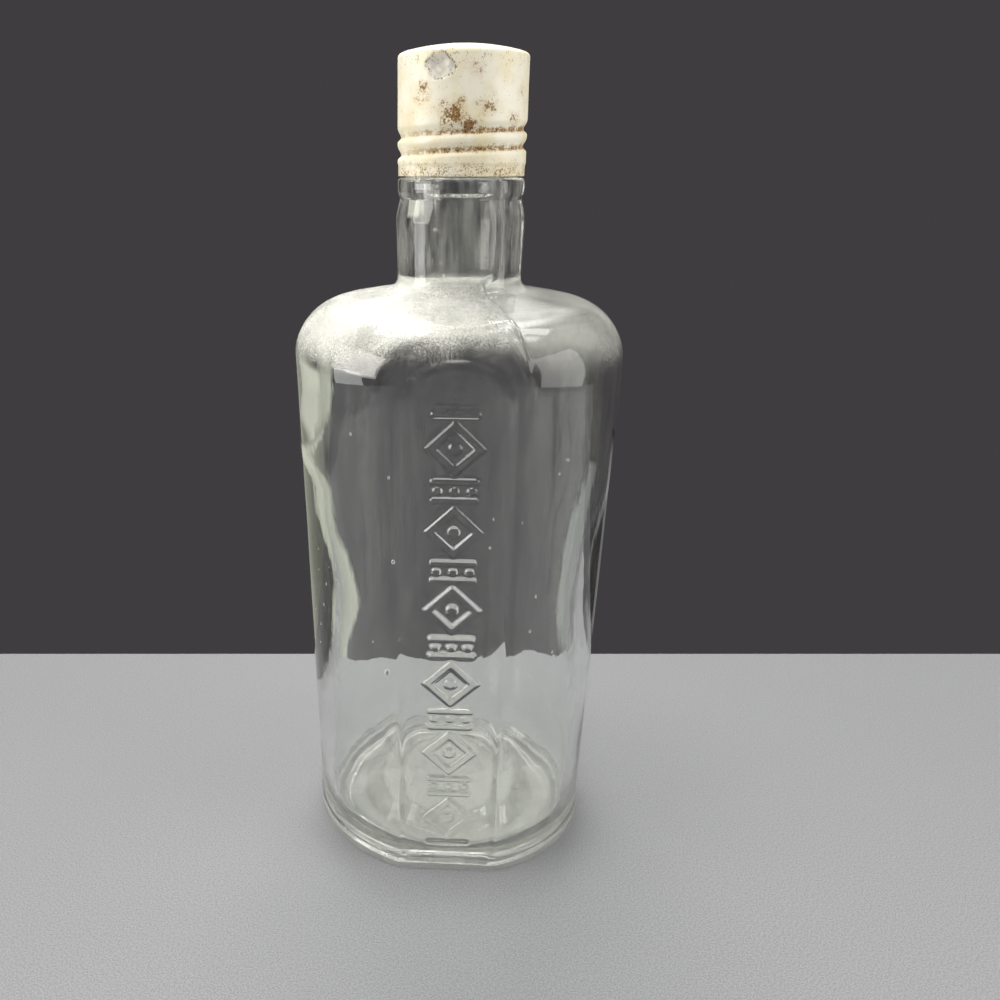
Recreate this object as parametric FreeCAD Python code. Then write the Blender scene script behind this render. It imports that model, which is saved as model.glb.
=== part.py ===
import FreeCAD
import Part
import math
import os

# A round, tapered glass bottle with a flat panel at front and back and a screw finish,
# closed by a tall tin cap with a rolled thread and a cork liner.
# Millimetres. +Z is up along the axis of the neck, the origin is the centre of the standing
# ring on the table, and the front panel faces -Y.

# Glass body: a cone that meets the sloping shoulder at the wall top, before rounding
FOOT_DIAMETER = 61.2
WALL_TOP_DIAMETER = 67.6
WALL_TOP_HEIGHT = 116.4
SHOULDER_RISE = 5.6
SHOULDER_RADIUS = 13.0
BODY_WALL = 3.6
FLOOR_THICKNESS = 5.0
FLOOR_BEVEL = 5.0
INNER_SHOULDER_BEVEL = 5.0

# Heel, where the base plate of the mould meets the body
HEEL_BAND_HEIGHT = 3.4
HEEL_LEDGE = 0.25
HEEL_BEVEL = 0.8
STANDING_RING_WIDTH = 3.2
PUSH_UP_HEIGHT = 2.0
PUSH_UP_SLOPE_WIDTH = 4.0

# Flat panels with a round top
PANEL_FOOT_WIDTH = 21.2
PANEL_TOP_WIDTH = 25.0
PANEL_TOP_DROP = 2.6
PANEL_ARCH_MARGIN = 0.4
PANEL_STEP_DRAFT = 35.0

# Neck, measured upwards from the shoulder to the bead under the cap
NECK_DIAMETER = 24.8
NECK_ROOT_RADIUS = 2.4
NECK_LENGTH = 13.5
NECK_SWELL = 0.4
NECK_SWELL_RADIUS = 9.0
SWELL_TO_GROOVE = 3.4
NECK_GROOVE_DEPTH = 0.25
GROOVE_TO_BEAD = 1.4
BEAD_HEIGHT = 2.6
BEAD_PROJECTION = 1.55
BEAD_BEVEL = 0.5

# Screw finish of the glass
FINISH_DIAMETER = 21.8
FINISH_HEIGHT = 17.6
FINISH_WALL = 2.5
LIP_BEVEL = 0.7
THREAD_PITCH = 3.175
THREAD_DEPTH = 0.85
THREAD_ROOT_WIDTH = 2.0
THREAD_CREST_WIDTH = 0.7
THREAD_TURNS = 1.5
THREAD_ROOTING = 0.4

# Tin cap, which runs over the thread of the finish
CAP_TIN = 0.25
CAP_THREAD_CLEARANCE = 0.5
CAP_FOOT_GAP = 0.3
CAP_RIM_BEVEL = 1.0
CROWN_FLAT_RADIUS = 5.0
CROWN_RISE = 1.3
CAP_CROWN_CLEARANCE = 0.25
SKIRT_INSET = 0.15
SKIRT_HEIGHT = 1.8
SKIRT_STEP = 0.6
ROLL_DEPTH = 0.7
ROLL_MOUTH_WIDTH = 2.3
ROLL_VALLEY_WIDTH = 0.6
ROLL_OVERCUT = 0.2
ROLL_TURNS = 1.75
ROLL_START_HEIGHT = 3.35
ROLL_START_ANGLE = 135
RUN_OUT_TURN = 0.25

# Liner of the cap
WAD_THICKNESS = 3.0
FACING_THICKNESS = 0.4
LINER_CLEARANCE = 0.3

# Radii and heights that follow from the sizes above
foot_radius = FOOT_DIAMETER / 2
wall_top_radius = WALL_TOP_DIAMETER / 2
ring_outer_radius = foot_radius + HEEL_LEDGE
ring_inner_radius = ring_outer_radius - HEEL_BEVEL - STANDING_RING_WIDTH
neck_radius = NECK_DIAMETER / 2
finish_radius = FINISH_DIAMETER / 2
bead_radius = finish_radius + BEAD_PROJECTION
bore_radius = finish_radius - FINISH_WALL
cap_radius = finish_radius + THREAD_DEPTH + CAP_THREAD_CLEARANCE + CAP_TIN
liner_radius = cap_radius - CAP_TIN - LINER_CLEARANCE
neck_root = WALL_TOP_HEIGHT + SHOULDER_RISE
panel_top = WALL_TOP_HEIGHT - PANEL_TOP_DROP
swell_height = neck_root + NECK_LENGTH
groove_height = swell_height + SWELL_TO_GROOVE
bead_bottom = groove_height + GROOVE_TO_BEAD
bead_top = bead_bottom + BEAD_HEIGHT
lip_height = bead_top + FINISH_HEIGHT
facing_top = lip_height + FACING_THICKNESS
wad_top = facing_top + WAD_THICKNESS
cap_bottom = bead_top + CAP_FOOT_GAP
roll_start = cap_bottom + ROLL_START_HEIGHT
cap_top = wad_top + CAP_CROWN_CLEARANCE + CAP_RIM_BEVEL + CROWN_RISE + CAP_TIN

ORIGIN = FreeCAD.Vector(0, 0, 0)
X_AXIS = FreeCAD.Vector(1, 0, 0)
Z_AXIS = FreeCAD.Vector(0, 0, 1)
LEVEL = 1e-5


def outline(corners):
    """A closed wire in the XZ plane through corners of (radius, height, rounding)."""
    points = [FreeCAD.Vector(radius, 0, height) for radius, height, rounding in corners]
    starts, ends, edges = [], [], []
    for index, (radius, height, rounding) in enumerate(corners):
        point = points[index]
        before = (points[index - 1] - point).normalize()
        after = (points[(index + 1) % len(points)] - point).normalize()
        half_angle = before.getAngle(after) / 2
        reach = rounding / math.tan(half_angle)
        starts.append(point + before * reach)
        ends.append(point + after * reach)
        if rounding > 0:
            middle = (before + after).normalize() * (rounding / math.sin(half_angle) - rounding)
            edges.append(Part.Arc(starts[-1], point + middle, ends[-1]).toShape())
    for index, end in enumerate(ends):
        edges.append(Part.LineSegment(end, starts[(index + 1) % len(starts)]).toShape())
    return Part.Wire(Part.__sortEdges__(edges))


def turned(corners):
    """A solid of revolution about the Z axis."""
    return Part.Face(outline(corners)).revolve(ORIGIN, Z_AXIS, 360)


def helix_run(radius, section, turns, first_turn, spread):
    """A bar with a closed section of (out, up) points along part of a right-hand helix."""
    rise = THREAD_PITCH * turns
    cone_angle = math.degrees(math.atan2(spread, rise))
    path = Part.Wire(Part.makeHelix(THREAD_PITCH, rise, radius, cone_angle))
    points = [FreeCAD.Vector(radius + out, 0, up) for out, up in section]
    bar = path.makePipeShell([Part.makePolygon(points + points[:1])], True, True)
    bar.rotate(ORIGIN, Z_AXIS, ROLL_START_ANGLE + 360 * first_turn)
    bar.translate(Z_AXIS * THREAD_PITCH * first_turn)
    return bar


def wall_radius(height):
    """Outside radius of the tapered wall at a height."""
    return foot_radius + (wall_top_radius - foot_radius) * height / WALL_TOP_HEIGHT


def panel_distance(wall, width):
    """Distance from the axis of a flat of this width on a round wall."""
    return math.sqrt(wall ** 2 - (width / 2) ** 2)


panel_foot = panel_distance(foot_radius, PANEL_FOOT_WIDTH)
panel_head = panel_distance(wall_top_radius, PANEL_TOP_WIDTH)
panel_lean = math.degrees(math.atan2(panel_head - panel_foot, WALL_TOP_HEIGHT))


def front_and_back(cutter):
    """The cutter leaned with the panel, and its copy behind the bottle."""
    cutter.rotate(FreeCAD.Vector(0, -panel_foot, 0), X_AXIS, panel_lean)
    behind = cutter.copy()
    behind.rotate(ORIGIN, Z_AXIS, 180)
    return [cutter, behind]


def arched(half_width, bottom, top, distance):
    """An upright outline with a round top, at a distance in front of the axis."""
    spring = top - half_width
    low_left = FreeCAD.Vector(-half_width, -distance, bottom)
    low_right = FreeCAD.Vector(half_width, -distance, bottom)
    high_right = FreeCAD.Vector(half_width, -distance, spring)
    high_left = FreeCAD.Vector(-half_width, -distance, spring)
    crown = FreeCAD.Vector(0, -distance, top)
    return Part.Wire([
        Part.LineSegment(low_left, low_right).toShape(),
        Part.LineSegment(low_right, high_right).toShape(),
        Part.Arc(high_right, crown, high_left).toShape(),
        Part.LineSegment(high_left, low_left).toShape(),
    ])


def panel_cutters():
    """Drafted tools with round tops that sink the two flat panels above the heel band."""
    reach = max(foot_radius, wall_top_radius) - min(panel_foot, panel_head)
    spread = reach * math.tan(math.radians(PANEL_STEP_DRAFT))
    half_width = PANEL_TOP_WIDTH / 2 + PANEL_ARCH_MARGIN
    inner = arched(half_width, HEEL_BAND_HEIGHT, panel_top, panel_foot)
    outer = arched(half_width + spread, HEEL_BAND_HEIGHT, panel_top + spread, panel_foot + reach)
    return front_and_back(Part.makeLoft([inner, outer], True, True))


def flat_cutters(top, distance):
    """Blocks from under the table up to a height that leave flats at a distance from the axis."""
    corner = FreeCAD.Vector(-wall_top_radius, -distance - wall_top_radius, -HEEL_BAND_HEIGHT)
    height = HEEL_BAND_HEIGHT + top
    return front_and_back(Part.makeBox(WALL_TOP_DIAMETER, wall_top_radius, height, corner))


def bottle_blank():
    """The outside of the glass, turned, without panels, thread or hollow."""
    return turned([
        (0, PUSH_UP_HEIGHT, 0),
        (ring_inner_radius - PUSH_UP_SLOPE_WIDTH, PUSH_UP_HEIGHT, 0),
        (ring_inner_radius, 0, 0),
        (ring_outer_radius, 0, 0),
        (wall_radius(HEEL_BAND_HEIGHT) + HEEL_LEDGE, HEEL_BAND_HEIGHT, 0),
        (wall_radius(HEEL_BAND_HEIGHT), HEEL_BAND_HEIGHT, 0),
        (wall_top_radius, WALL_TOP_HEIGHT, SHOULDER_RADIUS),
        (neck_radius, neck_root, NECK_ROOT_RADIUS),
        (neck_radius + NECK_SWELL, swell_height, NECK_SWELL_RADIUS),
        (bead_radius - NECK_GROOVE_DEPTH, groove_height, 0),
        (bead_radius, bead_bottom, 0),
        (bead_radius, bead_top - BEAD_BEVEL, 0),
        (bead_radius - BEAD_BEVEL, bead_top, 0),
        (finish_radius, bead_top, 0),
        (finish_radius, lip_height - LIP_BEVEL, 0),
        (finish_radius - LIP_BEVEL, lip_height, 0),
        (0, lip_height, 0),
    ])


def bottle_hollow():
    """The space inside the glass, with its own flats behind the panels."""
    slope = SHOULDER_RISE / (wall_top_radius - neck_radius)
    drop = BODY_WALL * math.sqrt(1 + slope ** 2)
    corner_radius = wall_top_radius - BODY_WALL
    corner_height = WALL_TOP_HEIGHT - drop + BODY_WALL * slope
    root_height = neck_root - drop + (neck_radius - bore_radius) * slope
    bevel_height = corner_height - INNER_SHOULDER_BEVEL
    floor_edge = FLOOR_THICKNESS + FLOOR_BEVEL
    hollow = turned([
        (0, FLOOR_THICKNESS, 0),
        (wall_radius(FLOOR_THICKNESS) - BODY_WALL - FLOOR_BEVEL, FLOOR_THICKNESS, 0),
        (wall_radius(floor_edge) - BODY_WALL, floor_edge, 0),
        (wall_radius(bevel_height) - BODY_WALL, bevel_height, 0),
        (corner_radius - INNER_SHOULDER_BEVEL, corner_height + INNER_SHOULDER_BEVEL * slope, 0),
        (bore_radius + BODY_WALL, root_height - BODY_WALL * slope, 0),
        (bore_radius, root_height + BODY_WALL, 0),
        (bore_radius, lip_height - LIP_BEVEL, 0),
        (bore_radius + LIP_BEVEL, lip_height, 0),
        (0, lip_height, 0),
    ])
    return hollow.cut(flat_cutters(neck_root, panel_foot - BODY_WALL))


def heel_edges(solid):
    """The outer edges of the standing ring."""
    found = []
    for edge in solid.Edges:
        middle = edge.valueAt((edge.FirstParameter + edge.LastParameter) / 2)
        on_table = abs(edge.BoundBox.ZMax) < LEVEL and abs(edge.BoundBox.ZMin) < LEVEL
        if on_table and math.hypot(middle.x, middle.y) > ring_inner_radius + LEVEL:
            found.append(edge)
    return found


def finish_thread():
    """The raised thread of the glass, half a pitch above the rolled thread of the cap."""
    flank = (THREAD_ROOT_WIDTH - THREAD_CREST_WIDTH) / 2 / THREAD_DEPTH
    buried = THREAD_ROOT_WIDTH / 2 + flank * THREAD_ROOTING
    crest = THREAD_CREST_WIDTH / 2
    root = -THREAD_ROOTING
    section = [(root, -buried), (THREAD_DEPTH, -crest), (THREAD_DEPTH, crest), (root, buried)]
    ridge = helix_run(finish_radius, section, THREAD_TURNS, 0, 0)
    ridge.translate(Z_AXIS * (roll_start + THREAD_PITCH / 2))
    return ridge


def glass_bottle():
    """Moulded glass bottle with two flat panels and a screw finish."""
    body = bottle_blank()
    body = body.cut(flat_cutters(HEEL_BAND_HEIGHT, panel_foot + HEEL_LEDGE))
    body = body.cut(panel_cutters())
    body = body.makeChamfer(HEEL_BEVEL, heel_edges(body))
    return body.fuse(finish_thread()).cut(bottle_hollow()).removeSplitter()


def roll_cutter(inset):
    """The rolled groove, which runs out at both ends, grown by an inset for the inside of the tin."""
    flank = (ROLL_MOUTH_WIDTH - ROLL_VALLEY_WIDTH) / 2 / ROLL_DEPTH
    shift = inset * math.sqrt(1 + flank ** 2)
    depth = ROLL_DEPTH + inset
    mouth_out = ROLL_OVERCUT - inset
    valley = ROLL_VALLEY_WIDTH / 2 + shift - inset * flank
    mouth = ROLL_VALLEY_WIDTH / 2 + shift + (ROLL_DEPTH + mouth_out) * flank
    section = [(mouth_out, -mouth), (mouth_out, mouth), (-depth, valley), (-depth, -valley)]
    fade = ROLL_DEPTH + ROLL_OVERCUT / 2
    lead_in = helix_run(cap_radius + fade, section, RUN_OUT_TURN, -RUN_OUT_TURN, -fade)
    lead_out = helix_run(cap_radius, section, RUN_OUT_TURN, ROLL_TURNS, fade)
    cutter = helix_run(cap_radius, section, ROLL_TURNS, 0, 0).fuse([lead_in, lead_out])
    cutter.translate(Z_AXIS * roll_start)
    return cutter


def cap_form(inset):
    """The cap as a full solid, set in by an inset from its outside."""
    wall_bottom = cap_bottom + SKIRT_HEIGHT
    radius = cap_radius - inset
    top = cap_top - inset
    form = turned([
        (0, cap_bottom, 0),
        (radius - SKIRT_INSET, cap_bottom, 0),
        (radius - SKIRT_INSET, wall_bottom, 0),
        (radius, wall_bottom + SKIRT_STEP, 0),
        (radius, top - CROWN_RISE - CAP_RIM_BEVEL, 0),
        (radius - CAP_RIM_BEVEL, top - CROWN_RISE, 0),
        (CROWN_FLAT_RADIUS, top, 0),
        (0, top, 0),
    ])
    return form.cut(roll_cutter(inset))


def cap_shell():
    """Drawn tin cap with a rolled thread, open at the bottom."""
    return cap_form(0).cut(cap_form(CAP_TIN))


def cork_wad():
    """Cork disc in the crown of the cap."""
    return Part.makeCylinder(liner_radius, WAD_THICKNESS, Z_AXIS * facing_top)


def liner_facing():
    """Thin facing disc between the cork and the glass lip."""
    return Part.makeCylinder(liner_radius, FACING_THICKNESS, Z_AXIS * lip_height)


def main():
    """Builds each piece and writes it to its own file."""
    os.makedirs("parts", exist_ok=True)
    for piece in (glass_bottle, cap_shell, cork_wad, liner_facing):
        shape = piece()
        shape.exportStep("parts/" + piece.__name__ + ".step")
        print(piece.__name__, "volume", round(shape.Volume, 1), "solids", len(shape.Solids))


main()
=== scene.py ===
import math
from functools import reduce

import bmesh
import bpy
from bpy.props import FloatProperty, FloatVectorProperty, PointerProperty
from mathutils import Matrix, Vector, noise


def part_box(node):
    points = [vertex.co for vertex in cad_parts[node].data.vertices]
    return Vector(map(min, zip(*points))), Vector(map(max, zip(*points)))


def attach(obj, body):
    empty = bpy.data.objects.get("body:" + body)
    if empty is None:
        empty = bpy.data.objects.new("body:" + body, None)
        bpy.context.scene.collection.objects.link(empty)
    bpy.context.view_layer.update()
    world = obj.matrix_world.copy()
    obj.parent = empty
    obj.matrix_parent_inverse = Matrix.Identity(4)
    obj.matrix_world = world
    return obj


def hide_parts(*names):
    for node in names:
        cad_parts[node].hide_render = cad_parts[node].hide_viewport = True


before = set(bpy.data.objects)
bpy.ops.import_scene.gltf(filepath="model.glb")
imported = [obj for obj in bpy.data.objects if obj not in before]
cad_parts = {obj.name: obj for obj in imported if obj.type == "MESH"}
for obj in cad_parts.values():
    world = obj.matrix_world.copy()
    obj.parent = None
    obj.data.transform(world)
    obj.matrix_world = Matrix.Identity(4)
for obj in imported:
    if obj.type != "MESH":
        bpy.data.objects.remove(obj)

bl_info = {
    "name": "Screw cap bottle",
    "version": (1, 0, 0),
    "blender": (4, 5, 0),
    "location": "View3D > Sidebar > Bottle",
    "description": "Models the finish of an old glass bottle, its tin screw cap and its cork liner",
    "category": "Object",
}

MM = 0.001
FULL_TURN = 2 * math.pi
FRONT = -math.pi / 2
TINY = 1e-6
WELD = 1e-7
GLASS_IOR = 1.52
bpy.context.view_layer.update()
LIP_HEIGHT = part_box("glass_bottle")[1].z
CAP_LOW, CAP_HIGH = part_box("cap_shell")
WAD_LOW, WAD_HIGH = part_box("cork_wad")
FACING_LOW, FACING_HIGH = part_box("liner_facing")


def length(name, description, default):
    """A size in metres that a user may change."""
    return FloatProperty(name=name, description=description, default=default, unit="LENGTH", precision=5)


def share(name, description, default):
    """A plain number that a user may change."""
    return FloatProperty(name=name, description=description, default=default)


def angle(name, description, degrees):
    """An angle that a user may change."""
    return FloatProperty(name=name, description=description, default=math.radians(degrees), unit="ROTATION")


def colour(name, description, default):
    """A colour that a user may change."""
    return FloatVectorProperty(
        name=name, description=description, default=default, subtype="COLOR", size=3, min=0, max=1
    )


class GlassSettings(bpy.types.PropertyGroup):
    """Sizes and colours of the glass bottle."""

    foot_radius: length("Foot radius", "Outside of the tapered wall at the table", 30.6 * MM)
    top_radius: length("Wall top radius", "Outside of the tapered wall at the shoulder", 34.1 * MM)
    top_height: length("Wall top height", "Where wall and shoulder would meet without rounding", 117.9 * MM)
    shoulder_rise: length("Shoulder rise", "From the wall top up to the neck", 4.0 * MM)
    shoulder_radius: length("Shoulder radius", "Rounding between wall and shoulder", 12.2 * MM)
    wall: length("Wall", "Thickness of the body", 3.6 * MM)
    floor: length("Floor", "Height of the floor inside at its edge", 3.4 * MM)
    floor_radius: length("Floor radius", "Rounding between floor and wall inside", 4.5 * MM)
    floor_rise: length("Floor rise", "How far the middle of the floor is raised", 2.6 * MM)
    floor_middle: length("Floor middle", "Radius of the raised middle of the floor", 15 * MM)
    heel_height: length("Heel height", "Height of the band that the base plate leaves", 3.4 * MM)
    heel_ledge: length("Heel ledge", "How far the heel band stands out", 0.25 * MM)
    heel_radius: length("Heel radius", "Rounding under the heel band", 1.0 * MM)
    ring_width: length("Standing ring", "Width of the ring that touches the table", 3.2 * MM)
    push_up: length("Push-up", "How far the base is pushed up", 2 * MM)
    panel_foot: length("Panel foot width", "Width of a flat panel at the table", 21.2 * MM)
    panel_head: length("Panel head width", "Width of a flat panel at the wall top", 25 * MM)
    panel_top: length("Panel top", "Height of the round top of a panel", 113.8 * MM)
    panel_edge: length("Panel edge", "Softness of a panel's edges", 0.35 * MM)
    edge_bead: length("Edge bead", "How far the edges of the panels stand out", 0.17 * MM)
    panel_draft: angle("Panel draft", "Slope of the step round the top of a panel", 35)
    neck_radius: length("Neck radius", "Outside of the neck at the shoulder", 12.4 * MM)
    neck_root: length("Neck root", "Rounding between shoulder and neck", 2.4 * MM)
    neck_length: length("Neck length", "From the shoulder up to the swell", 13.6 * MM)
    neck_swell: length("Neck swell", "How far the neck swells", 0.4 * MM)
    bead_radius: length("Bead radius", "Outside of the bead under the cap", 12.45 * MM)
    bead_height: length("Bead height", "Height of the bead", 2.6 * MM)
    finish_radius: length("Finish radius", "Outside of the screw finish", 10.9 * MM)
    finish_height: length("Finish height", "From the bead up to the lip", 17.6 * MM)
    finish_wall: length("Finish wall", "Thickness of the glass at the mouth", 2.5 * MM)
    thread_depth: length("Thread depth", "How far the thread stands out", 0.85 * MM)
    thread_width: length("Thread width", "Width of the thread at its root", 2.0 * MM)
    thread_turns: share("Thread turns", "Turns of the thread on the glass", 1.5)
    relief_height: length("Relief height", "How far the ornament on the front panel stands out", 0.6 * MM)
    relief_stroke: length("Relief stroke", "Width of the ornament's lines", 1.5 * MM)
    inner_wave: length("Inner wave", "Unevenness of the wall inside", 0.45 * MM)
    outer_wave: length("Outer wave", "Unevenness of the wall outside", 0.05 * MM)
    seam_height: length("Seam height", "How far the mould seam stands out", 0.42 * MM)
    seam_width: length("Seam width", "Width of the mould seam", 0.8 * MM)
    tint: colour("Glass tint", "Colour of the glass", (0.945, 0.956, 0.95))
    haze: colour("Haze", "Colour of the wear and dust on the shoulder", (0.90, 0.895, 0.83))


class CapSettings(bpy.types.PropertyGroup):
    """Sizes and colours of the tin cap and its liner."""

    tin: length("Tin", "Thickness of the tin", 0.25 * MM)
    dome_radius: length("Dome radius", "Curvature of the crown", 46 * MM)
    rim_radius: length("Rim radius", "Rounding between crown and wall", 1.3 * MM)
    skirt_height: length("Skirt height", "Height of the plain band at the foot of the cap", 1.8 * MM)
    skirt_inset: length("Skirt inset", "How far the skirt is drawn in", 0.15 * MM)
    pitch: length("Thread pitch", "Rise of the thread in one turn", 3.175 * MM)
    roll_start: length("Roll start", "Height of the rolled groove where it has its full depth", 146.55 * MM)
    roll_angle: angle("Roll angle", "Where the rolled groove has its full depth", 135)
    roll_turns: share("Roll turns", "Turns of the rolled groove at its full depth", 1.75)
    roll_depth: length("Roll depth", "Depth of the rolled groove", 0.7 * MM)
    roll_width: length("Roll width", "Width of the rolled groove", 2.7 * MM)
    roll_above: share("Roll slope", "Share of the groove's width above its deepest line", 0.66)
    run_out: share("Run-out", "Part of a turn in which the groove runs out", 0.25)
    dent_angle: angle("Dent angle", "Where the dent lies, from the front", -19.8)
    dent_height: length("Dent height", "Height of the dent's centre", 162.0 * MM)
    dent_radius: length("Dent radius", "Size of the dent", 3.2 * MM)
    dent_depth: length("Dent depth", "Depth of the dent", 0.45 * MM)
    lip_mark: length("Lip mark", "Depth of the ring that the lip pressed into the liner", 0.12 * MM)
    enamel: colour("Enamel", "Cream enamel of the cap", (0.93, 0.885, 0.75))
    rust: colour("Rust", "Rust on the cap", (0.26, 0.105, 0.013))
    stain: colour("Stain", "Ochre stain round the rust", (0.56, 0.33, 0.075))
    bare_tin: colour("Bare tin", "Tin where the enamel is gone", (0.55, 0.55, 0.52))
    cork: colour("Cork", "Cork of the liner", (0.50, 0.31, 0.16))
    paper: colour("Paper", "Waxed facing of the liner", (0.72, 0.66, 0.52))


class StageSettings(bpy.types.PropertyGroup):
    """Floor, backdrop, lamps and camera."""

    table_back: length("Table back edge", "How far the table reaches behind the bottle", 69 * MM)
    table_size: length("Table size", "Width and depth of the table", 0.9)
    table_colour: colour("Table", "Colour of the table", (0.215, 0.219, 0.228))
    backdrop: colour("Backdrop", "Plain colour behind the bottle", (0.050, 0.047, 0.050))
    ambient: share("Ambient", "Strength of the even light from all sides", 0.18)
    table_turn: angle("Table turn", "How far the table is turned against the bottle", 3.6)
    camera_height: length("Camera height", "Height of the camera", 145.5 * MM)
    camera_distance: length("Camera distance", "Distance of the camera in front of the axis", 197.9 * MM)
    camera_pitch: angle("Camera pitch", "How far the camera looks down", 19.5)
    camera_yaw: angle("Camera yaw", "How far the camera is turned to the left", 3.6)
    camera_shift: share("Camera shift", "Sideways shift of the picture, as a share of its width", 0.102)
    camera_lens: share("Camera lens", "Focal length in millimetres on a 36 mm sensor", 34.2)


class Signal:
    """A node socket whose arithmetic adds Math nodes beside it."""

    def __init__(self, nodes, socket):
        self.nodes = nodes
        self.socket = socket

    def math(self, operation, first, second):
        return self.nodes.signal("ShaderNodeMath", {"operation": operation}, {0: first, 1: second})

    def __add__(self, other):
        return self.math("ADD", self, other)

    def __radd__(self, other):
        return self.math("ADD", other, self)

    def __sub__(self, other):
        return self.math("SUBTRACT", self, other)

    def __rsub__(self, other):
        return self.math("SUBTRACT", other, self)

    def __mul__(self, other):
        return self.math("MULTIPLY", self, other)

    def __rmul__(self, other):
        return self.math("MULTIPLY", other, self)

    def most(self, other):
        """The larger of two values."""
        return self.math("MAXIMUM", self, other)

    def between(self, low, high):
        """0 below low, 1 above high and smooth between them; low may be the larger."""
        if low > high:
            return 1 - self.between(high, low)
        settings = {"interpolation_type": "SMOOTHSTEP"}
        return self.nodes.signal("ShaderNodeMapRange", settings, {0: self, 1: low, 2: high})


class Nodes:
    """A node tree, with a single way of adding nodes to it."""

    def __init__(self, tree):
        self.tree = tree
        self.tree.nodes.clear()

    def node(self, kind, settings=None, inputs=None):
        """A node of this kind, with its settings first and then the values or links of its sockets."""
        made = self.tree.nodes.new(kind)
        for name, value in (settings or {}).items():
            setattr(made, name, value)
        for name, value in (inputs or {}).items():
            if isinstance(value, Signal):
                self.tree.links.new(value.socket, made.inputs[name])
            elif made.inputs[name].type == "RGBA":
                made.inputs[name].default_value = (*value, 1)
            else:
                made.inputs[name].default_value = value
        return made

    def signal(self, kind, settings=None, inputs=None, output=0):
        """One output of a new node."""
        return Signal(self, self.node(kind, settings, inputs).outputs[output])

    def blended(self, factor, first, second):
        """Two shaders mixed by a factor."""
        return self.signal("ShaderNodeMixShader", None, {0: factor, 1: first, 2: second})


class Finish(Nodes):
    """One material."""

    def __init__(self, name):
        self.material = bpy.data.materials.new(name)
        self.material.use_nodes = True
        super().__init__(self.material.node_tree)
        self.place = self.signal("ShaderNodeTexCoord", output="Object")

    def noise(self, size, detail=3, roughness=0.5, place=None):
        """Noise with features of about this size in metres."""
        place = place or self.place
        inputs = {"Vector": place, "Scale": 1 / size, "Detail": detail, "Roughness": roughness}
        return self.signal("ShaderNodeTexNoise", None, inputs)

    def stretched(self, scale):
        """Object coordinates, scaled on each axis."""
        return self.signal("ShaderNodeMapping", None, {"Vector": self.place, "Scale": scale})

    def axis(self, name):
        """One of the object coordinates."""
        return self.signal("ShaderNodeSeparateXYZ", None, {0: self.place}, name)

    def attribute(self, name):
        """A number kept on the mesh's vertices."""
        return self.signal("ShaderNodeAttribute", {"attribute_name": name}, None, "Fac")

    def warped(self, amount, size):
        """Object coordinates, moved about by noise."""
        inputs = {"Vector": self.place, "Scale": 1 / size, "Detail": 4}
        way = self.signal("ShaderNodeTexNoise", None, inputs, "Color")
        way = self.signal("ShaderNodeVectorMath", {"operation": "SUBTRACT"}, {0: way, 1: (0.5,) * 3})
        moved = {0: way, 1: (amount,) * 3, 2: self.place}
        return self.signal("ShaderNodeVectorMath", {"operation": "MULTIPLY_ADD"}, moved)

    def spot(self, centre, reach, place):
        """1 at a point, falling to 0 at a reach from it."""
        settings = {"operation": "DISTANCE"}
        distance = self.signal("ShaderNodeVectorMath", settings, {0: place, 1: centre}, "Value")
        return distance.between(reach, 0)

    def mixed(self, factor, first, second):
        """Two colours mixed by a factor."""
        settings = {"data_type": "RGBA"}
        return self.signal("ShaderNodeMix", settings, {0: factor, 6: first, 7: second}, 2)

    def bump(self, height, distance, strength):
        """A normal bent by a height."""
        inputs = {"Height": height, "Distance": distance, "Strength": strength}
        return self.signal("ShaderNodeBump", None, inputs)

    def principled(self, inputs):
        """A Principled shader."""
        return self.signal("ShaderNodeBsdfPrincipled", None, inputs)

    def surface(self, shader):
        """Ends the material with this shader."""
        self.node("ShaderNodeOutputMaterial", None, {"Surface": shader})
        return self.material


def toned(base, red, green, blue):
    """A colour whose parts are multiplied and kept within 1."""
    return tuple(min(1.0, part * factor) for part, factor in zip(base, (red, green, blue)))


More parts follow.
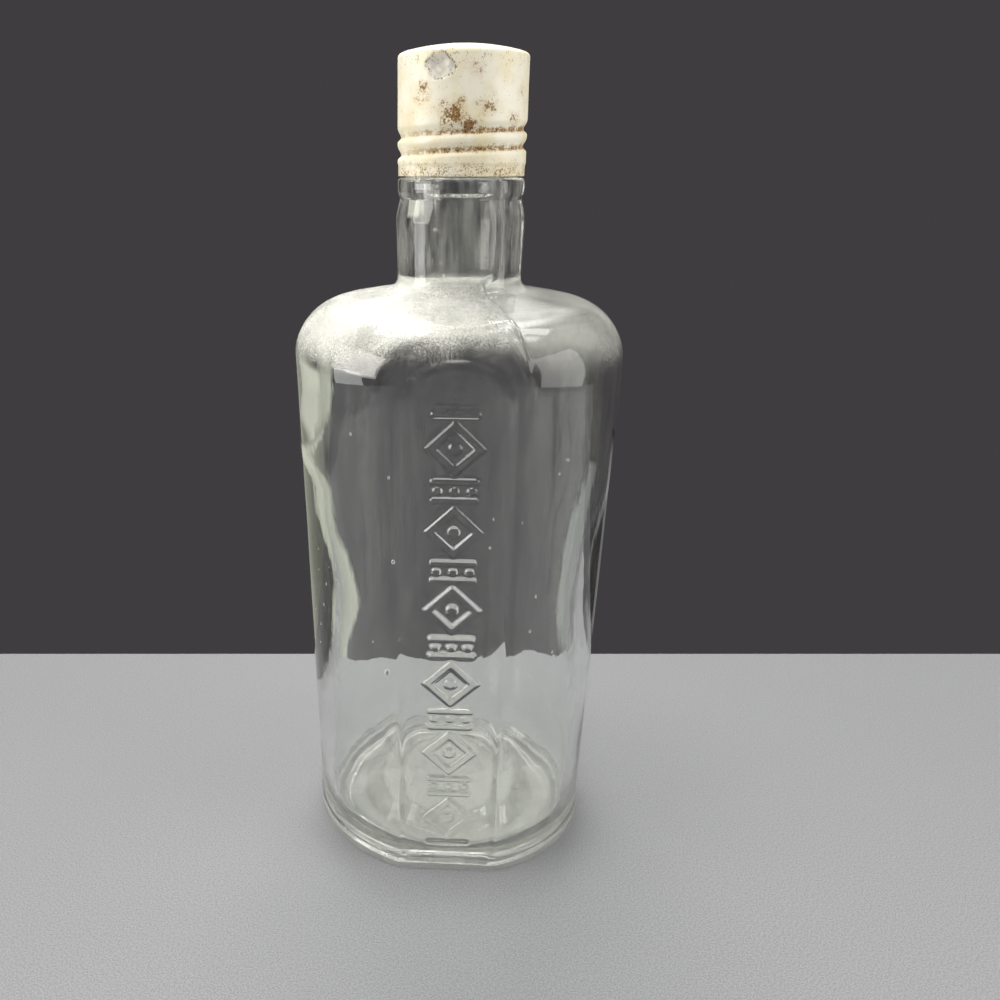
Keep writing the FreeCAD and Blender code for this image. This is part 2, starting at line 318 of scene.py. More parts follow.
def clear_glass(settings):
    """Clear pressed glass with a worn, dusty shoulder whose dust thins towards the right as painted shade,
    a neck film partly painted as streaks of refracted light, and base wear that is partly a painted glow;
    it lets lamps through to the table.
    """
    finish = Finish("clear_glass")
    top = settings.top_height
    across, height = finish.axis("X"), finish.axis("Z")
    fine = finish.noise(0.28 * MM, 2, 0.6)
    patches = finish.noise(7 * MM, 4, 0.6)
    side = across.between(9 * MM, 17 * MM).most(across.between(-9 * MM, -17 * MM))
    level = height + 6 * MM * (patches - 0.5) + 6 * MM * (fine - 0.5) + 4 * MM * side
    shoulder = level.between(top - 6 * MM, top - 1 * MM) * height.between(top + 6.8 * MM, top + 4.4 * MM)
    shoulder = shoulder * (1 - 0.85 * finish.attribute("seam"))
    # Painted shade: the haze thins towards the right, so the left of the shoulder reads as the lit side
    shoulder = shoulder * (1 - 0.6 * across.between(-4 * MM, 18 * MM))
    grain = fine.between(0.34, 0.66)
    haze = shoulder * (0.35 + 0.65 * grain) * (0.55 + 0.45 * patches.between(0.3, 0.65))
    # The neck's dust film is partly painted light: its vertical white smears stand in for bright streaks of
    # light refracted through the neck
    smears_and_painted_streaks = finish.noise(1.0, 4, 0.6, finish.stretched((330, 330, 70))).between(0.40, 0.72)
    dust_film_and_painted_streaks = (0.02 + 0.16 * height.between(top + 5 * MM, top + 10 * MM)) * smears_and_painted_streaks
    ripple = finish.noise(1.6 * MM, 2, 0.5, finish.stretched((1, 1, 0.35)))
    glass = finish.principled({
        "Base Color": settings.tint,
        "Roughness": 0.012 + 0.28 * haze + 0.05 * dust_film_and_painted_streaks,
        "IOR": GLASS_IOR,
        "Transmission Weight": 1.0,
        "Normal": finish.bump(ripple, 0.05 * MM, 0.25),
    })
    dust = finish.principled({"Base Color": settings.haze, "Roughness": 0.85, "Specular IOR Level": 0.3})
    under = finish.attribute("worn") * (0.55 + 0.45 * patches.between(0.35, 0.65))
    worn = finish.blended((0.52 * haze).most(dust_film_and_painted_streaks).most(0.34 * under), glass, dust)
    shade = finish.signal("ShaderNodeBsdfTransparent", None, {"Color": (0.80, 0.815, 0.81)})
    lamp_ray = finish.signal("ShaderNodeLightPath", None, None, "Is Shadow Ray")
    low = height.between(28 * MM, 8 * MM)
    return finish.surface(finish.blended(lamp_ray * (1 - (0.8 * under).most(0.85 * low)), worn, shade))


def seed_glass():
    """Air in the glass: light bends the other way round in it, and its rim is painted white with a faint
    emission, a painted glint that glows though no lamp is there.
    """
    finish = Finish("seed_air")
    specks = finish.noise(0.2 * MM, 1)
    inputs = {"Color": (1, 1, 1), "Roughness": 0.02 + 0.03 * specks, "IOR": 1 / GLASS_IOR}
    air = finish.signal("ShaderNodeBsdfGlass", None, inputs)
    # Painted glint: a white shader with a faint emission, laid on the bubble's rim
    painted_glint = finish.principled({
        "Base Color": (0.95, 0.95, 0.95),
        "Roughness": 0.3 + 0.1 * specks,
        "Emission Color": (1, 1, 1),
        "Emission Strength": 0.3,
    })
    rim = finish.signal("ShaderNodeLayerWeight", None, {"Blend": 0.5}, "Facing").between(0.25, 0.7)
    return finish.surface(finish.blended(0.85 * rim, air, painted_glint))


# Places of rust spots on the cap in millimetres, with their reach and strength
RUST_SPOTS = (
    ((-2.0, -12.4, 153.9), 4.2, 1.0),
    ((1.2, -12.4, 152.2), 2.8, 1.0),
    ((-7.8, -9.7, 158.2), 3.4, 0.6),
    ((9.8, -7.8, 153.4), 2.8, 0.8),
    ((4.6, -11.6, 155.6), 3.2, 0.6),
    ((2.6, -12.2, 161.2), 2.4, 0.5),
    ((10.8, -6.2, 158.0), 2.2, 0.5),
    ((-3.0, 12.1, 157.0), 4.2, 0.9),
    ((-11.6, 4.6, 152.6), 3.4, 0.8),
    ((7.5, 10.0, 160.0), 3.0, 0.6),
)


def cream_enamel(settings):
    """Cream enamel on tin, with rust in the grooves, rust spots, specks and a bare dent."""
    finish = Finish("cream_enamel")
    across, height = finish.axis("X"), finish.axis("Z")
    groove, dent = finish.attribute("groove"), finish.attribute("dent")
    clouds = finish.noise(6 * MM, 4, 0.6)
    coarse = finish.noise(1.5 * MM, 4, 0.6)
    fine = finish.noise(0.5 * MM, 4, 0.65)
    pits = finish.noise(0.3 * MM, 2, 0.5)
    mottle = 0.5 * fine + 0.5 * coarse
    ragged = finish.warped(5 * MM, 2.5 * MM)
    marks = []
    for centre, reach, strength in RUST_SPOTS:
        centre = tuple(part * MM for part in centre)
        marks.append(strength * finish.spot(centre, reach * MM, ragged))
    spots = reduce(Signal.most, marks)
    patches = (mottle + 0.24 * spots).between(0.62, 0.72) * spots.between(0.05, 0.35)
    dots = pits.between(0.55, 0.61) * spots.between(0.15, 0.75)
    clean_side = 0.25 + 0.75 * across.between(-11 * MM, -3 * MM)
    valley = groove.between(0.60, 0.96) * clean_side
    seam = valley * mottle.between(0.41, 0.56)
    in_groove = groove.between(0.25, 0.8) * clean_side
    dots = dots.most(in_groove * pits.between(0.53, 0.59) * coarse.between(0.40, 0.55))
    skirt = height.between(CAP_LOW.z + 3.8 * MM, CAP_LOW.z + 0.4 * MM)
    dots = dots.most(0.9 * skirt * pits.between(0.52, 0.58) * coarse.between(0.36, 0.56))
    crown = height.between(CAP_HIGH.z - 6.0 * MM, CAP_HIGH.z - 3.0 * MM)
    dots = dots.most(0.8 * crown * pits.between(0.59, 0.65) * coarse.between(0.46, 0.58))
    dots = dots.most(0.8 * pits.between(0.65, 0.70) * coarse.between(0.42, 0.62))
    chip_edge = dent.between(0.08, 0.3) * dent.between(0.85, 0.5)
    dots = dots.most(0.9 * chip_edge * pits.between(0.48, 0.55) * coarse.between(0.40, 0.5))
    blush = (0.8 * spots).most(0.75 * valley).most(0.28 * skirt) * mottle.between(0.30, 0.62)
    yellowed = toned(settings.enamel, 0.88, 0.80, 0.58)
    paint = finish.mixed(0.7 * clouds.between(0.35, 0.7), settings.enamel, yellowed)
    paint = finish.mixed(blush, paint, settings.stain)
    bare = 0.75 * dent.between(0.2, 0.55) * (0.35 + 0.65 * coarse.between(0.35, 0.6))
    paint = finish.mixed(bare, paint, settings.bare_tin)
    dark = toned(settings.rust, 0.3, 0.3, 0.3)
    crust = finish.mixed(0.55 * fine.between(0.46, 0.60), settings.rust, dark)
    paint = finish.mixed((0.85 * patches).most(0.7 * seam), paint, crust)
    rusty = patches.most(seam).most(dots)
    return finish.surface(finish.principled({
        "Base Color": finish.mixed(0.85 * dots, paint, dark),
        "Roughness": 0.32 + 0.12 * clouds + 0.42 * rusty,
        "Normal": finish.bump(0.5 * clouds + 0.35 * coarse - 0.5 * rusty, 0.12 * MM, 0.5),
    }))


def pressed_cork(settings):
    """Cork bark with darker pores and grain."""
    finish = Finish("pressed_cork")
    grain = finish.noise(1.2 * MM, 4, 0.6)
    pores = finish.noise(1.0, 3, 0.6, finish.stretched((900, 350, 900))).between(0.60, 0.68)
    dark = toned(settings.cork, 0.35, 0.35, 0.35)
    light = toned(settings.cork, 1.25, 1.25, 1.25)
    body = finish.mixed(grain.between(0.3, 0.7), settings.cork, light)
    return finish.surface(finish.principled({
        "Base Color": finish.mixed(0.85 * pores, body, dark),
        "Roughness": 0.85 - 0.1 * grain,
        "Normal": finish.bump(grain - 0.8 * pores, 0.15 * MM, 0.7),
    }))


def waxed_paper(settings):
    """Waxed paper with fibres, and a stain where the lip pressed on it."""
    finish = Finish("waxed_paper")
    fibres = finish.noise(1.0, 4, 0.6, finish.stretched((1800, 500, 900)))
    mark = finish.attribute("lip_mark")
    blots = finish.noise(4 * MM, 3, 0.6)
    stain = (0.7 * mark).most(0.5 * blots.between(0.5, 0.75))
    stained = toned(settings.paper, 0.72, 0.58, 0.42)
    return finish.surface(finish.principled({
        "Base Color": finish.mixed(stain * 0.8, settings.paper, stained),
        "Roughness": 0.42 + 0.2 * fibres,
        "Coat Weight": 0.25 * blots,
        "Normal": finish.bump(fibres, 0.06 * MM, 0.4),
    }))


def table_paint(settings):
    """Plain pale floor with a fine tooth."""
    finish = Finish("table_paint")
    tooth = finish.noise(0.35 * MM, 3, 0.7)
    light = toned(settings.table_colour, 1.25, 1.25, 1.25)
    dark = toned(settings.table_colour, 0.75, 0.75, 0.75)
    return finish.surface(finish.principled({
        "Base Color": finish.mixed(tooth.between(0.3, 0.7), dark, light),
        "Roughness": 0.62 + 0.1 * tooth,
        "Normal": finish.bump(tooth, 0.05 * MM, 0.5),
    }))


def soft_glow(name, glow, tone, border):
    """Light from a panel, which fades within its borders."""
    finish = Finish(name)
    fade = 1.0
    for way in (finish.axis("X"), finish.axis("Y")):
        fade = fade * way.between(-0.5, border - 0.5) * way.between(0.5, 0.5 - border)
    shade = finish.mixed(fade, (0, 0, 0), tone)
    return finish.surface(finish.signal("ShaderNodeEmission", None, {"Color": shade, "Strength": glow}))


def smooth_step(low, high, value):
    """0 below low, 1 above high and smooth between them."""
    part = min(1.0, max(0.0, (value - low) / (high - low)))
    return part * part * (3 - 2 * part)


def bell(offset, spread):
    """1 at no offset, and falling smoothly to 0 on both sides."""
    return math.exp(-((offset / spread) ** 2))


def polar(point):
    """The angle of a point round the Z axis and its distance from the axis."""
    return math.atan2(point.y, point.x), math.hypot(point.x, point.y)


def ray(turn):
    """The level unit vector that points away from the Z axis at an angle."""
    return Vector((math.cos(turn), math.sin(turn), 0))


def soft_least(first, second, softness):
    """The smaller of two values, rounded where they meet."""
    overlap = max(softness - abs(first - second), 0.0)
    return min(first, second) - overlap * overlap / (4 * softness)


def section_points(corners):
    """Points of a section through corners of radius, height, rounding and spacing of the next run."""
    spots = [Vector((radius, height)) for radius, height, rounding, spacing in corners]
    points = [spots[0]]
    for index in range(1, len(corners)):
        rounding, spacing = corners[index][2], corners[index - 1][3]
        here = spots[index]
        before = (spots[index - 1] - here).normalized()
        arc = [here]
        if rounding > 0:
            after = (spots[index + 1] - here).normalized()
            half_angle = before.angle(after) / 2
            reach = rounding / math.tan(half_angle)
            centre = here + (before + after).normalized() * rounding / math.sin(half_angle)
            start = here + before * reach - centre
            sweep = (here + after * reach - centre).angle_signed(start)
            steps = max(3, math.ceil(abs(sweep) * rounding / min(spacing, corners[index][3])))
            arc = [centre + Matrix.Rotation(sweep * step / steps, 2) @ start for step in range(steps + 1)]
        run = arc[0] - points[-1]
        pieces = max(1, math.ceil(run.length / spacing))
        first = points[-1]
        points += [first + run * piece / pieces for piece in range(1, pieces)]
        points += arc
    return points


def turned(points, columns, inner_from=None):
    """A bmesh turned round the Z axis from a section; its inner layer marks the points from an index on."""
    bm = bmesh.new()
    inner = bm.verts.layers.float.new("inner")
    chain = [bm.verts.new((point.x, 0, point.y)) for point in points]
    for index, vertex in enumerate(chain):
        vertex[inner] = float(inner_from is not None and index >= inner_from)
    for first, second in zip(chain, chain[1:]):
        bm.edges.new((first, second))
    bmesh.ops.spin(
        bm, geom=bm.verts[:] + bm.edges[:], axis=(0, 0, 1), angle=FULL_TURN, steps=columns, use_merge=True
    )
    bmesh.ops.remove_doubles(bm, verts=bm.verts[:], dist=WELD)
    bmesh.ops.recalc_face_normals(bm, faces=bm.faces[:])
    return bm


def linked(name, bm, material):
    """An object in the scene with a bmesh as its mesh."""
    if not bm.faces:
        raise RuntimeError(name + " has no faces")
    mesh = bpy.data.meshes.new(name)
    bm.to_mesh(mesh)
    bm.free()
    mesh.materials.append(material)
    made = bpy.data.objects.new(name, mesh)
    bpy.context.scene.collection.objects.link(made)
    return made


def add_piece(name, bm, material, body, node=None):
    """Makes a bmesh a piece that rides on a body and takes the place of a node."""
    piece = linked(name, bm, material)
    piece.data.shade_smooth()
    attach(piece, body)
    if node:
        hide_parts(node)


COLUMNS = 168
ANGLE_SAMPLES = 3600
# Between which angles from the front the columns become wider beside a panel
PANEL_BORDER = (math.radians(26), math.radians(32))
PANEL_EDGE_ANGLE = math.radians(21)
PANEL_EDGE_SPREAD = math.radians(2.2)
# Where the mould seams run on the shoulder and on the neck, from the front
SEAM_ANGLES = (math.radians(22), math.radians(36))
SEAM_SPREAD = math.radians(2)
# How much denser the columns are at the panels' edges and at the seams
EDGE_COLUMNS = 5
SEAM_COLUMNS = 4


def column_angles():
    """Angles of the columns, closer together over the two panels, at their edges and at the seams."""
    weights = []
    for sample in range(ANGLE_SAMPLES):
        turn = FULL_TURN * (sample + 0.5) / ANGLE_SAMPLES
        beside = math.remainder(turn - FRONT, math.pi)
        panel = 1 - smooth_step(*PANEL_BORDER, abs(beside))
        edge = bell(abs(beside) - PANEL_EDGE_ANGLE, PANEL_EDGE_SPREAD)
        seam = sum(bell(beside - middle, SEAM_SPREAD) for middle in SEAM_ANGLES)
        weights.append(1 + panel + EDGE_COLUMNS * edge + SEAM_COLUMNS * seam)
    step = sum(weights) / COLUMNS
    angles, passed = [], 0.0
    for sample, weight in enumerate(weights):
        while len(angles) < COLUMNS and passed + weight > len(angles) * step:
            part = (len(angles) * step - passed) / weight
            angles.append(FULL_TURN * (sample + part) / ANGLE_SAMPLES)
        passed += weight
    return angles


# How often a waviness repeats round the wall, its length up the wall and where its pattern starts
OUTER_WAVE = (2.2, 22 * MM, (0, 0))
SLOW_WAVE = (1.3, 30 * MM, (4.2, 0))
QUICK_WAVE = (2.3, 13 * MM, (0, 7.7))


def waviness(wave, way, height):
    """How uneven the wall is in one way from the axis, from about -1 to 1."""
    often, tall, (start_x, start_y) = wave
    return noise.noise(Vector((way.x * often + start_x, way.y * often + start_y, height / tall)))


class GlassForm:
    """The shape of the glass, worked out from its settings."""

    RELIEF_FOOT = 14 * MM
    RELIEF_PERIOD = 16.5 * MM
    RELIEF_COUNT = 6
    RELIEF_HALF_WIDTH = 4.6 * MM
    RELIEF_MARGIN = 1.5 * MM
    RELIEF_REACH = 2 * MM
    # Where the slope at the edge of the ornament's lines ends and starts
    RELIEF_SLOPE = (-0.42 * MM, 0.38 * MM)
    LOZENGE_HALF_HEIGHT = 4.4 * MM
    LOZENGE_INNER_RADIUS = 3.18 * MM
    STUD_RADIUS = 1.15 * MM
    BAR_HEIGHT = 6.4 * MM
    BAR_WEIGHT = 0.85
    ROW_BEAD_RADIUS = 0.85 * MM
    ROW_BEAD_OFFSETS = (0, 3.2 * MM)
    ARCH_MARGIN = 0.4 * MM
    ARCH_SOFTNESS = 1.4 * MM
    CREASE_WIDTH = 0.16 * MM
    HEEL_STEP = 0.06 * MM
    SEAM_START = 4 * MM
    SEAM_SWAY = math.radians(1.0)
    SEAM_SWAY_LENGTH = 4 * MM
    THREAD_FADE = 0.06
    # Shares of the thread's width at which its flank starts and ends, from its middle
    THREAD_FLANK = (0.16, 0.56)
    INNER_EDGE = 1.6 * MM
    FLOOR_WAVE = 0.35 * MM
    FLOOR_WAVE_LENGTH = 16 * MM
    FLOOR_WAVE_START = 2.5
    # Where the wall is thicker inside: angle and spread in degrees, height, spread and depth in millimetres
    SWELLINGS = (
        (182, 56, 34, 18, 1.6),
        (180, 88, 30, 5, -0.9),
        (180, 104, 30, 8, 0.3),
        (0, 60, 28, 15, 0.6),
        (0, 86, 26, 8, -0.5),
    )

    def __init__(self, glass, cap):
        self.glass = glass
        self.cap = cap
        self.neck_foot = glass.top_height + glass.shoulder_rise
        self.swell = self.neck_foot + glass.neck_length
        self.lip = LIP_HEIGHT
        self.bead_top = self.lip - glass.finish_height
        self.ring_outer = glass.foot_radius + glass.heel_ledge
        self.ring_inner = self.ring_outer - glass.heel_radius - glass.ring_width
        self.panel_near = math.sqrt(glass.foot_radius ** 2 - (glass.panel_foot / 2) ** 2)
        self.panel_far = math.sqrt(glass.top_radius ** 2 - (glass.panel_head / 2) ** 2)

    def wall_radius(self, height):
        """Outside radius of the tapered wall."""
        glass = self.glass
        return glass.foot_radius + (glass.top_radius - glass.foot_radius) * height / glass.top_height

    def panel_distance(self, height):
        """Distance of the flat panels from the axis."""
        return self.panel_near + (self.panel_far - self.panel_near) * height / self.glass.top_height

    def section(self):
        """Corners for section_points: the outside from push-up to lip, and the inside back to the floor."""
        glass = self.glass
        ring_out, ring_in = self.ring_outer, self.ring_inner
        heel = self.wall_radius(glass.heel_height)
        bead_foot = self.bead_top - glass.bead_height
        bore = glass.finish_radius - glass.finish_wall
        slope = glass.shoulder_rise / (glass.top_radius - glass.neck_radius)
        drop = glass.wall * math.sqrt(1 + slope ** 2)
        corner_height = glass.top_height - drop + glass.wall * slope
        root = self.neck_foot - drop + (glass.neck_radius - bore) * slope
        outside = [
            (0, glass.push_up, 0, 4 * MM),
            (ring_in - 3 * MM, glass.push_up, 3 * MM, 1 * MM),
            (ring_in, 0, 0.8 * MM, 1.5 * MM),
            (ring_out, 0, glass.heel_radius, 0.5 * MM),
            (heel + glass.heel_ledge, glass.heel_height, 0.18 * MM, 0.12 * MM),
            (heel, glass.heel_height + 0.05 * MM, 0.12 * MM, 0.8 * MM),
            (glass.top_radius, glass.top_height, glass.shoulder_radius, 0.8 * MM),
            (glass.neck_radius, self.neck_foot, glass.neck_root, 0.7 * MM),
            (glass.neck_radius + glass.neck_swell, self.swell, 9 * MM, 0.6 * MM),
            (glass.bead_radius - 0.45 * MM, bead_foot - 1.3 * MM, 0.8 * MM, 0.35 * MM),
            (glass.bead_radius, bead_foot, 1.0 * MM, 0.4 * MM),
            (glass.bead_radius, self.bead_top, 0.7 * MM, 0.5 * MM),
            (glass.finish_radius, self.bead_top, 0.4 * MM, 0.42 * MM),
            (glass.finish_radius, self.lip, 0.9 * MM, 0.4 * MM),
        ]
        inside = [
            (bore, self.lip, 0.9 * MM, 1.6 * MM),
            (bore, root, 4 * MM, 1.5 * MM),
            (glass.top_radius - glass.wall, corner_height, 9 * MM, 1.9 * MM),
            (self.wall_radius(glass.floor) - glass.wall, glass.floor, glass.floor_radius, 1.2 * MM),
            (glass.floor_middle + 5 * MM, glass.floor, 3 * MM, 0.6 * MM),
            (glass.floor_middle, glass.floor + glass.floor_rise, 3 * MM, 0.6 * MM),
            (0, glass.floor + glass.floor_rise, 0, 1 * MM),
        ]
        return outside, inside

    def step_out(self, across, height):
        """How far the surface round a panel's top stands in front of the panel."""
        glass = self.glass
        half_width = glass.panel_head / 2 + self.ARCH_MARGIN
        spring = glass.panel_top - half_width
        beyond = math.hypot(across, max(height - spring, 0)) - half_width
        soft = (beyond + math.sqrt(beyond ** 2 + self.ARCH_SOFTNESS ** 2)) / 2
        return soft / math.tan(glass.panel_draft)

    def relief(self, across, height):
        """Height of the ornament: lozenges with a stud, bars, and rows of beads between the bars."""
        glass = self.glass
        half = self.RELIEF_HALF_WIDTH
        if abs(across) > half + self.RELIEF_REACH:
            return 0.0
        number = round((height - self.RELIEF_FOOT) / self.RELIEF_PERIOD)
        number = min(self.RELIEF_COUNT - 1, max(0, number))
        up = height - self.RELIEF_FOOT - number * self.RELIEF_PERIOD
        line = glass.relief_stroke / 2
        side = abs(across)
        lozenge = abs(side / half + abs(up) / self.LOZENGE_HALF_HEIGHT - 1)
        lozenge = lozenge * self.LOZENGE_INNER_RADIUS - line
        stud = math.hypot(across, up) - self.STUD_RADIUS
        bar = math.hypot(max(side - half + line, 0), abs(up) - self.BAR_HEIGHT) - line * self.BAR_WEIGHT
        shapes = [lozenge, stud, bar]
        last = number == self.RELIEF_COUNT - 1 and up > 0
        first = number == 0 and up < 0
        if not (first or last):
            row = abs(abs(up) - self.RELIEF_PERIOD / 2)
            beads = [math.hypot(side - offset, row) for offset in self.ROW_BEAD_OFFSETS]
            shapes.append(min(beads) - self.ROW_BEAD_RADIUS)
        return glass.relief_height * (1 - smooth_step(*self.RELIEF_SLOPE, min(shapes)))

    def relief_span(self):
        """Lowest and highest height that the ornament reaches."""
        reach = self.RELIEF_PERIOD / 2
        top = self.RELIEF_FOOT + (self.RELIEF_COUNT - 1) * self.RELIEF_PERIOD
        return self.RELIEF_FOOT - reach, top + reach

    def carries_relief(self, spot):
        """Whether a spot lies on the outside, within the ornament's column."""
        low, high = self.relief_span()
        half = self.RELIEF_HALF_WIDTH + self.RELIEF_MARGIN
        outer = math.hypot(spot.x, spot.y) > self.wall_radius(spot.z) - 0.5 * MM
        return spot.y < 0 and abs(spot.x) < half and low < spot.z < high and outer

    def thread(self, turn, height):
        """How far the thread of the finish stands out."""
        glass, cap = self.glass, self.cap
        turns = glass.thread_turns
        crest, root = (glass.thread_width * edge for edge in self.THREAD_FLANK)
        stand = 0.0
        part = (turn - cap.roll_angle) / FULL_TURN % 1
        for lap in (0, 1):
            along = part + lap
            centre = cap.roll_start + cap.pitch * (along + 0.5)
            ends = smooth_step(0, self.THREAD_FADE, along)
            ends *= 1 - smooth_step(turns - self.THREAD_FADE, turns, along)
            flank = 1 - smooth_step(crest, root, abs(height - centre))
            stand = max(stand, glass.thread_depth * flank * ends)
        return stand

    def seam(self, turn, radius, height):
        """Where the two mould seams run over neck and shoulder, from 0 to 1."""
        glass = self.glass
        climb = smooth_step(self.neck_foot + 1 * MM, self.neck_foot + 4 * MM, height)
        middle = SEAM_ANGLES[0] + (SEAM_ANGLES[1] - SEAM_ANGLES[0]) * climb
        middle += self.SEAM_SWAY * math.sin(height / self.SEAM_SWAY_LENGTH)
        away = abs(math.remainder(turn - FRONT - middle, math.pi)) * radius
        reach = smooth_step(glass.panel_top - self.SEAM_START, glass.panel_top, height)
        reach *= 1 - smooth_step(self.bead_top - 1 * MM, self.bead_top, height)
        return reach * bell(away, glass.seam_width / 2)

    def panel_depth(self, point, radius, height):
        """How far the outside lies from the middle plane, where the panels cut the round wall."""
        glass = self.glass
        heel = glass.heel_height
        ledge = glass.heel_ledge * (1 - smooth_step(heel - self.HEEL_STEP, heel + self.HEEL_STEP, height))
        tuck = max(0.0, self.ring_outer - radius) if height < heel else 0.0
        flat = self.panel_distance(height) + ledge - tuck + self.step_out(point.x, height)
        round_depth = abs(point.y)
        depth = soft_least(round_depth, flat, glass.panel_edge)
        crease = bell(round_depth - flat, self.CREASE_WIDTH)
        depth += glass.edge_bead * crease * smooth_step(heel, heel + 2 * MM, height)
        if point.y < 0 and height > heel:
            depth += self.relief(point.x, height)
        return depth

    def outside_point(self, turn, radius, height):
        """A point of the outside, with panels, ornament, seams, thread and a faint waviness."""
        glass = self.glass
        direction = ray(turn)
        body = smooth_step(glass.heel_height, glass.heel_height + 4 * MM, height)
        body *= 1 - smooth_step(glass.top_height, self.neck_foot, height)
        radius += glass.outer_wave * waviness(OUTER_WAVE, direction, height) * body
        if height > glass.panel_top - self.SEAM_START:
            radius += glass.seam_height * self.seam(turn, radius, height)
        if height > self.bead_top + 0.5 * MM and radius > glass.finish_radius - 0.05 * MM:
            radius += self.thread(turn, height)
        point = direction * radius
        if height < glass.top_height + 2 * MM:
            point.y = math.copysign(self.panel_depth(point, radius, height), point.y)
        return Vector((point.x, point.y, height))

    def wear(self, radius, height, inside):
        """How worn or dusty the glass is near the base, from 0 to 1."""
        glass = self.glass
        if inside:
            return 0.5 * (1 - smooth_step(glass.floor + 2 * MM, glass.floor + 10 * MM, height))
        if radius < self.ring_inner:
            return float(height < glass.floor)
        band = 0.6 * (1 - smooth_step(glass.heel_height - 0.2 * MM, glass.heel_height, height))
        return max(band, 1 - smooth_step(0.2 * MM, glass.heel_radius, height))

    def inside_point(self, turn, radius, height):
        """A point of the inside, which is flat behind the panels and wavy all over."""
        glass = self.glass
        direction = ray(turn)
        body = smooth_step(glass.floor, glass.floor + 18 * MM, height)
        body *= 1 - 0.75 * smooth_step(glass.top_height - 6 * MM, self.neck_foot, height)
        body *= 1 - smooth_step(self.lip - 10 * MM, self.lip - 2 * MM, height)
        slow = waviness(SLOW_WAVE, direction, height)
        quick = waviness(QUICK_WAVE, direction, height)
        for degrees, middle, spread, tall, depth in self.SWELLINGS:
            around = math.remainder(turn - math.radians(degrees), FULL_TURN) / math.radians(spread)
            along = (height / MM - middle) / tall
            radius -= depth * MM * math.exp(-around ** 2 - along ** 2) * body
        radius += glass.inner_wave * (0.8 * slow + 0.35 * quick) * body
        point = direction * radius
        flat = self.panel_distance(height) - glass.wall + 0.35 * glass.inner_wave * quick * body
        point.y = math.copysign(soft_least(abs(point.y), flat, self.INNER_EDGE), point.y)
        rise = 0.0
        if height < glass.floor + 3 * MM:
            x, y = point.x / self.FLOOR_WAVE_LENGTH, point.y / self.FLOOR_WAVE_LENGTH
            rise = self.FLOOR_WAVE * noise.noise(Vector((x, y, self.FLOOR_WAVE_START)))
        return Vector((point.x, point.y, height + rise))


def roll_dip(settings, turn, height):
    """How deep the rolled groove of the cap is at a place, from 0 to 1."""
    deepest = 0.0
    part = (turn - settings.roll_angle) / FULL_TURN % 1
    for lap in (-1, 0, 1):
        along = part + lap
        ends = smooth_step(-settings.run_out, 0, along)
        ends *= 1 - smooth_step(settings.roll_turns, settings.roll_turns + settings.run_out, along)
        away = (height - settings.roll_start - settings.pitch * along) / settings.roll_width
        away /= settings.roll_above if away > 0 else 1 - settings.roll_above
        if abs(away) < 1:
            deepest = max(deepest, ends * 0.5 * (1 + math.cos(math.pi * away)))
    return deepest


class BOTTLE_OT_glass(bpy.types.Operator):
    """Model the glass bottle in place of its plain solid"""

    bl_idname = "bottle.glass"
    bl_label = "Glass bottle"
    bl_options = {"REGISTER", "UNDO"}

    RELIEF_CUTS = 3

    def blank(self, form, glass):
        """The turned glass, with columns where the detail is and finer faces for the ornament."""
        outside, inside = form.section()
        points = section_points(outside + inside)
        middle = glass.finish_radius - glass.finish_wall / 2
        lip_index = next(i for i, spot in enumerate(points) if spot.y > form.lip - TINY and spot.x < middle)
        bm = turned(points, COLUMNS, lip_index)
        inner = bm.verts.layers.float["inner"]
        angles = column_angles()
        for vertex in bm.verts:
            turn, radius = polar(vertex.co)
            column = round(turn / FULL_TURN * COLUMNS) % COLUMNS
            vertex.co.x = radius * math.cos(angles[column])
            vertex.co.y = radius * math.sin(angles[column])
        plain = [face for face in bm.faces if form.carries_relief(face.calc_center_median())]
        plain = [face for face in plain if all(vertex[inner] < 0.5 for vertex in face.verts)]
        edges = list(dict.fromkeys(edge for face in plain for edge in face.edges))
        bmesh.ops.subdivide_edges(bm, edges=edges, cuts=self.RELIEF_CUTS, use_grid_fill=True)
        return bm

    def execute(self, context):
        glass, cap = context.scene.bottle_glass, context.scene.bottle_cap
        form = GlassForm(glass, cap)
        bm = self.blank(form, glass)
        worn, seam = bm.verts.layers.float.new("worn"), bm.verts.layers.float.new("seam")
        inner = bm.verts.layers.float["inner"]
        for vertex in bm.verts:
            turn, radius = polar(vertex.co)
            vertex[worn] = form.wear(radius, vertex.co.z, vertex[inner] > 0.5)
            if vertex[inner] > 0.5:
                vertex.co = form.inside_point(turn, radius, vertex.co.z)
                continue
            vertex[seam] = form.seam(turn, radius, vertex.co.z)
            if form.carries_relief(vertex.co):
                radius = form.wall_radius(vertex.co.z)
            vertex.co = form.outside_point(turn, radius, vertex.co.z)
        bmesh.ops.recalc_face_normals(bm, faces=bm.faces[:])
        add_piece("glass_body", bm, clear_glass(glass), "bottle", "glass_bottle")
        return {"FINISHED"}


